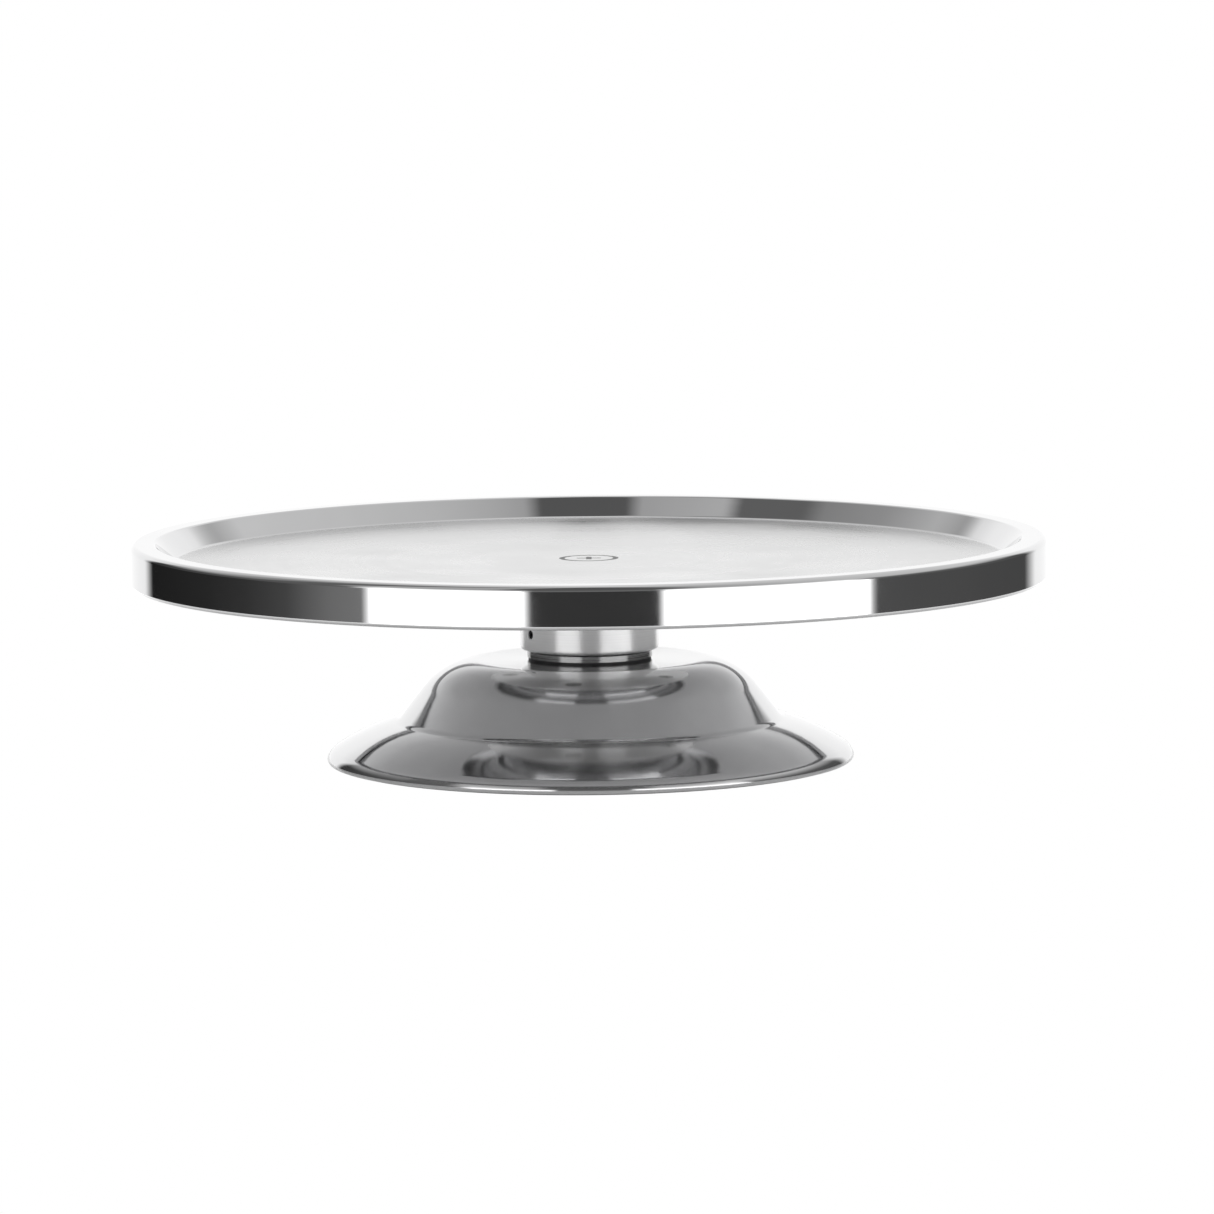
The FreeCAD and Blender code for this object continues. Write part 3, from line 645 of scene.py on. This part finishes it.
def ramp(tree, value, stops, low, high):
    """A brightness read from stops over a range."""
    made = node(tree, "ShaderNodeValToRGB")
    tree.links.new(spread(tree, value, low, high), made.inputs[0])
    elements = made.color_ramp.elements
    elements.remove(elements[1])
    for index, (place, level) in enumerate(stops):
        at = (place - low) / (high - low)
        element = elements[0] if index == 0 else elements.new(at)
        element.position = at
        element.color = (level, level, level, 1)
    return made.outputs[0]


def make_camera():
    """The camera, where the photograph was taken from."""
    camera = bpy.data.objects.new("camera", bpy.data.cameras.new("camera"))
    bpy.context.scene.collection.objects.link(camera)
    camera.data.lens = CAMERA_LENS
    camera.data.sensor_width = CAMERA_SENSOR
    camera.matrix_world = (
        Matrix.Translation(CAMERA_PLACE)
        @ Matrix.Rotation(math.pi / 2 - CAMERA_PITCH, 4, "X")
        @ Matrix.Rotation(-CAMERA_ROLL, 4, "Z")
    )
    bpy.context.scene.camera = camera


def make_studio():
    """Softboxes left and right of the camera, a white sweep behind, and dark in between."""
    world = bpy.data.worlds.new("studio")
    bpy.context.scene.world = world
    world.use_nodes = True
    tree = world.node_tree
    tree.nodes.clear()
    direction = node(tree, "ShaderNodeTexCoord").outputs["Generated"]
    split = node(tree, "ShaderNodeSeparateXYZ")
    tree.links.new(direction, split.inputs[0])
    backward = calc(tree, "MULTIPLY", split.outputs["Y"], -1.0)
    azimuth = calc(tree, "ARCTAN2", split.outputs["X"], backward)
    azimuth = calc(tree, "DEGREES", azimuth)
    elevation = calc(tree, "DEGREES", calc(tree, "ARCSINE", split.outputs["Z"]))
    low = ramp(tree, azimuth, TABLE_LEVEL, *HORIZON)
    middle = ramp(tree, azimuth, EYE_LEVEL, *HORIZON)
    above_table = spread(tree, elevation, *TABLE_LEVEL_ENDS)
    overhead = spread(tree, elevation, *EYE_LEVEL_ENDS)
    sides = blend(tree, above_table, low, middle)
    high = ramp(tree, azimuth, OVERHEAD, *HORIZON)
    studio = blend(tree, overhead, sides, high)
    seen = node(tree, "ShaderNodeLightPath").outputs["Is Camera Ray"]
    background = node(tree, "ShaderNodeBackground")
    feed(tree, background.inputs["Color"], blend(tree, seen, studio, BACKDROP))
    output = node(tree, "ShaderNodeOutputWorld")
    tree.links.new(background.outputs[0], output.inputs[0])


def make_floor():
    """A pale acrylic floor whose glow is painted light, dimmer near the turntable as a painted
    shadow of the plate.
    """
    bpy.ops.mesh.primitive_circle_add(vertices=FLOOR_SIDES, radius=FLOOR_RADIUS, fill_type="NGON")
    floor = bpy.context.object
    floor.name = "floor"
    floor.location.z = -FLOOR_CLEARANCE
    material = bpy.data.materials.new("floor")
    material.use_nodes = True
    tree = material.node_tree
    tree.nodes.clear()
    acrylic = node(tree, "ShaderNodeBsdfPrincipled")
    feed(tree, acrylic.inputs["Base Color"], FLOOR_COLOUR)
    feed(tree, acrylic.inputs["Roughness"], FLOOR_ROUGHNESS)
    feed(tree, acrylic.inputs["Emission Color"], PAINTED_LIGHT_COLOUR)
    place = node(tree, "ShaderNodeTexCoord").outputs["Object"]
    distance = node(tree, "ShaderNodeVectorMath", operation="LENGTH")
    tree.links.new(place, distance.inputs[0])
    # Painted light on the floor, dimmer near the axis as a painted shadow of the plate.
    painted_light = spread(tree, distance.outputs["Value"], *FLOOR_PAINTED_SHADOW_ENDS, *FLOOR_PAINTED_LIGHT)
    feed(tree, acrylic.inputs["Emission Strength"], painted_light)
    plain = node(tree, "ShaderNodeEmission")
    feed(tree, plain.inputs["Strength"], BACKDROP)
    seen = node(tree, "ShaderNodeLightPath").outputs["Is Camera Ray"]
    mix = node(tree, "ShaderNodeMixShader")
    tree.links.new(seen, mix.inputs[0])
    tree.links.new(acrylic.outputs[0], mix.inputs[1])
    tree.links.new(plain.outputs[0], mix.inputs[2])
    output = node(tree, "ShaderNodeOutputMaterial")
    tree.links.new(mix.outputs[0], output.inputs[0])
    floor.data.materials.append(material)


def noise(tree, place, scale, detail=3.0):
    """Noise from 0 to 1, with so many cells to the metre."""
    made = node(tree, "ShaderNodeTexNoise")
    for name, value in (("Vector", place), ("Scale", scale), ("Detail", detail)):
        feed(tree, made.inputs[name], value)
    return made.outputs["Fac"]


def rings(tree, along, spacing, detail=4.0):
    """Noise from 0 to 1 in rings round the axis, so far apart in metres."""
    made = node(tree, "ShaderNodeTexNoise", noise_dimensions="1D")
    feed(tree, made.inputs["W"], calc(tree, "DIVIDE", along, spacing))
    feed(tree, made.inputs["Scale"], 1.0)
    feed(tree, made.inputs["Detail"], detail)
    return made.outputs["Fac"]


class Finish:
    """A material with mottled colour, uneven gloss, and turning or grinding marks."""

    def __init__(self, name, colour, roughness, metallic=1.0):
        self.material = bpy.data.materials.new(name)
        self.material.use_nodes = True
        self.tree = self.material.node_tree
        self.shader = self.tree.nodes["Principled BSDF"]
        self.place = node(self.tree, "ShaderNodeTexCoord").outputs["Object"]
        split = node(self.tree, "ShaderNodeSeparateXYZ")
        self.tree.links.new(self.place, split.inputs[0])
        across, deep, up = split.outputs
        squares = [calc(self.tree, "MULTIPLY", side, side) for side in (across, deep)]
        self.radius = calc(self.tree, "SQRT", calc(self.tree, "ADD", *squares))
        self.across = across
        self.deep = deep
        self.along = calc(self.tree, "ADD", self.radius, up)
        self.colour = colour
        self.level = 1.0
        self.roughness = roughness
        self.bump = None
        feed(self.tree, self.shader.inputs["Metallic"], metallic)

    def mottle(self, scale, share):
        """Vary the colour's brightness in patches."""
        patches = noise(self.tree, self.place, scale)
        change = spread(self.tree, patches, *NOISE_RANGE, 1 - share, 1 + share)
        self.level = calc(self.tree, "MULTIPLY", self.level, change)

    def smudge(self, scale, amount):
        """Vary the roughness in patches."""
        patches = noise(self.tree, self.place, scale, detail=6.0)
        change = spread(self.tree, patches, *SMUDGE_RANGE, -amount, amount)
        self.roughness = calc(self.tree, "ADD", self.roughness, change)

    def turning_marks(self, spacing, height, gloss=0.0, shade=0.0):
        """Fine rings round the axis, in metres, which can vary the roughness and the colour."""
        marks = rings(self.tree, self.along, spacing)
        self.raise_surface(marks, height)
        if gloss:
            change = spread(self.tree, marks, *NOISE_RANGE, -gloss, gloss)
            self.roughness = calc(self.tree, "ADD", self.roughness, change)
        if shade:
            change = spread(self.tree, marks, *NOISE_RANGE, 1 - shade, 1 + shade)
            self.level = calc(self.tree, "MULTIPLY", self.level, change)

    def grain(self, scale, height):
        """Raise a fine grain, in metres."""
        self.raise_surface(noise(self.tree, self.place, scale, detail=5.0), height)

    def raise_surface(self, height, distance):
        """Add a bump: a height from 0 to 1, times a distance in metres."""
        made = node(self.tree, "ShaderNodeBump")
        feed(self.tree, made.inputs["Strength"], 1.0)
        feed(self.tree, made.inputs["Distance"], distance)
        feed(self.tree, made.inputs["Height"], height)
        if self.bump is not None:
            feed(self.tree, made.inputs["Normal"], self.bump)
        self.bump = made.outputs[0]

    def etch(self, mark, level, roughness):
        """A mark that is darker and rougher."""
        dark = blend(self.tree, mark, 1.0, level)
        self.level = calc(self.tree, "MULTIPLY", self.level, dark)
        self.roughness = blend(self.tree, mark, self.roughness, roughness)

    def turned_steel(self):
        """Scatter light up and down, across the turning marks, and hardly sideways."""
        around = node(self.tree, "ShaderNodeTangent", direction_type="RADIAL", axis="Z")
        self.tree.links.new(around.outputs[0], self.shader.inputs["Tangent"])
        feed(self.tree, self.shader.inputs["Anisotropic"], ANISOTROPY)
        feed(self.tree, self.shader.inputs["Anisotropic Rotation"], QUARTER_TURN)

    def done(self):
        """Link what was gathered to the shader, and give the material."""
        tint = node(self.tree, "ShaderNodeVectorMath", operation="SCALE")
        feed(self.tree, tint.inputs[0], self.colour)
        feed(self.tree, tint.inputs["Scale"], self.level)
        feed(self.tree, self.shader.inputs["Base Color"], tint.outputs[0])
        feed(self.tree, self.shader.inputs["Roughness"], self.roughness)
        if self.bump is not None:
            feed(self.tree, self.shader.inputs["Normal"], self.bump)
        return self.material


def mirror_steel():
    """Mirror-polished steel, with the faintest spinning marks and smudges."""
    finish = Finish("mirror_polished_stainless", colour=(0.68, 0.68, 0.685), roughness=0.055)
    finish.mottle(scale=25, share=0.03)
    finish.smudge(scale=45, amount=0.025)
    finish.turning_marks(spacing=0.003, height=0.000002)
    return finish.done()


def spun_steel():
    """Polished steel whose fine spinning marks smear its reflections up and down."""
    finish = Finish("spun_polished_stainless", colour=(0.68, 0.68, 0.685), roughness=0.1)
    finish.turned_steel()
    finish.mottle(scale=25, share=0.03)
    finish.smudge(scale=45, amount=0.02)
    finish.turning_marks(spacing=0.003, height=0.000002)
    return finish.done()


def well_steel():
    """Satin steel, brushed in rings, with a small etched ring and cross at the centre."""
    finish = Finish("satin_stainless", colour=(0.73, 0.73, 0.73), roughness=0.3)
    tree = finish.tree
    finish.mottle(scale=18, share=0.03)
    finish.smudge(scale=30, amount=0.04)
    finish.turning_marks(spacing=0.004, height=0.000002, gloss=0.02, shade=0.015)
    ring = calc(tree, "COMPARE", finish.radius, MARK_RADIUS, MARK_LINE)
    bars = []
    for along, across in ((finish.across, finish.deep), (finish.deep, finish.across)):
        inside = calc(tree, "COMPARE", along, 0.0, MARK_CROSS)
        bars.append(calc(tree, "MULTIPLY", inside, calc(tree, "COMPARE", across, 0.0, MARK_LINE)))
    mark = calc(tree, "MAXIMUM", ring, calc(tree, "MAXIMUM", *bars))
    finish.etch(mark, level=0.25, roughness=0.5)
    return finish.done()


def sleeve_steel():
    """Bright steel, finely turned."""
    finish = Finish("turned_stainless", colour=(0.94, 0.94, 0.94), roughness=0.38)
    finish.turned_steel()
    finish.mottle(scale=60, share=0.03)
    finish.turning_marks(spacing=0.0003, height=0.0000006, gloss=0.03, shade=0.04)
    return finish.done()


def shaded_post_steel():
    """Finely turned steel, darkened as painted shade for the post's foot, which is recessed in
    shadow under the sleeve.
    """
    # The dark colour is painted shade, not the steel's own tone.
    finish = Finish("fine_turned_steel_painted_shade", colour=(0.34, 0.34, 0.34), roughness=0.26)
    finish.turned_steel()
    finish.mottle(scale=80, share=0.05)
    finish.turning_marks(spacing=0.0003, height=0.0000008, gloss=0.04, shade=0.06)
    return finish.done()


def plain_steel():
    """Unpolished steel, turned and a little grainy."""
    finish = Finish("plain_steel", colour=(0.5, 0.5, 0.5), roughness=0.36)
    finish.mottle(scale=90, share=0.08)
    finish.smudge(scale=140, amount=0.06)
    finish.turning_marks(spacing=0.0005, height=0.000002, gloss=0.04, shade=0.05)
    finish.grain(scale=2500, height=0.000003)
    return finish.done()


def black_steel():
    """Steel with a black oxide skin."""
    finish = Finish("black_oxide_steel", colour=(0.035, 0.035, 0.038), roughness=0.42, metallic=0.8)
    finish.mottle(scale=200, share=0.2)
    finish.smudge(scale=300, amount=0.08)
    finish.grain(scale=4000, height=0.000004)
    return finish.done()


def bearing_steel():
    """Ground and polished bearing steel."""
    finish = Finish("ground_bearing_steel", colour=(0.58, 0.58, 0.59), roughness=0.16)
    finish.mottle(scale=120, share=0.04)
    finish.turning_marks(spacing=0.0002, height=0.0000008, gloss=0.04, shade=0.04)
    return finish.done()


def nylon():
    """The natural nylon of the ball cages."""
    finish = Finish("moulded_nylon", colour=(0.5, 0.45, 0.35), roughness=0.5, metallic=0.0)
    finish.mottle(scale=300, share=0.06)
    finish.smudge(scale=400, amount=0.05)
    finish.grain(scale=3000, height=0.000006)
    return finish.done()


def black_rubber():
    """Moulded black rubber, slightly dusty."""
    finish = Finish("moulded_rubber", colour=(0.025, 0.025, 0.026), roughness=0.62, metallic=0.0)
    finish.mottle(scale=150, share=0.25)
    finish.smudge(scale=250, amount=0.1)
    finish.grain(scale=5000, height=0.00001)
    return finish.done()


SLOT_FINISHES = {
    "polished_stainless": mirror_steel,
    "plain_steel": plain_steel,
    "black_steel": black_steel,
    "bearing_steel": bearing_steel,
    "nylon": nylon,
    "black_rubber": black_rubber,
}

# The finishes of turned pieces that are polished differently from the rest of their slot; the
# post's finish is also darkened as painted shade.
SPECIAL_FINISHES = [
    (spun_steel, ["base_shell"]),
    (sleeve_steel, ["hub_sleeve", "hub_disc"]),
    (shaded_post_steel, ["bearing_post"]),
]

TURNED_PARTS = {
    "top_plate": make_plate,
    "hub_disc": make_hub_disc,
    "hub_sleeve": make_sleeve,
    "bearing_post": make_post,
    "base_shell": make_base,
    "foot_ring": make_foot,
}


def brush_well(plate):
    """Give the flat floor of the plate's well its satin finish."""
    plate.data.materials.append(well_steel())
    floor_height = (PLATE_TOP - WELL_DEPTH) * MM
    for polygon in plate.data.polygons:
        flat = polygon.normal.z > SAME_FACING
        if flat and abs(polygon.center.z - floor_height) < SAME_PLACE:
            polygon.material_index = 1


def body_of(name):
    """The CAD body that a node belongs to."""
    bodies = frame["record"]["behaviour"]["bodies"]
    return next(body for body, names in bodies.items() if name in names)


def main():
    """Make the studio, finish every CAD node, and replace the turned ones."""
    bpy.context.scene.view_settings.view_transform = "Standard"
    make_camera()
    make_studio()
    make_floor()
    finishes = {slot: make() for slot, make in SLOT_FINISHES.items()}
    special = {}
    for make, names in SPECIAL_FINISHES:
        finish = make()
        special.update(dict.fromkeys(names, finish))
    slots = {row["node"]: row["material_slot"] for row in frame["record"]["subparts"]}
    for name, item in frame["nodes"].items():
        item.data.materials.clear()
        item.data.materials.append(finishes[slots[name]])
    for name, make in TURNED_PARTS.items():
        piece = make()
        piece.data.materials.clear()
        piece.data.materials.append(special.get(name, finishes[slots[name]]))
        if name == "top_plate":
            brush_well(piece)
        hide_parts(name)
        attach(piece, body_of(name))


main()
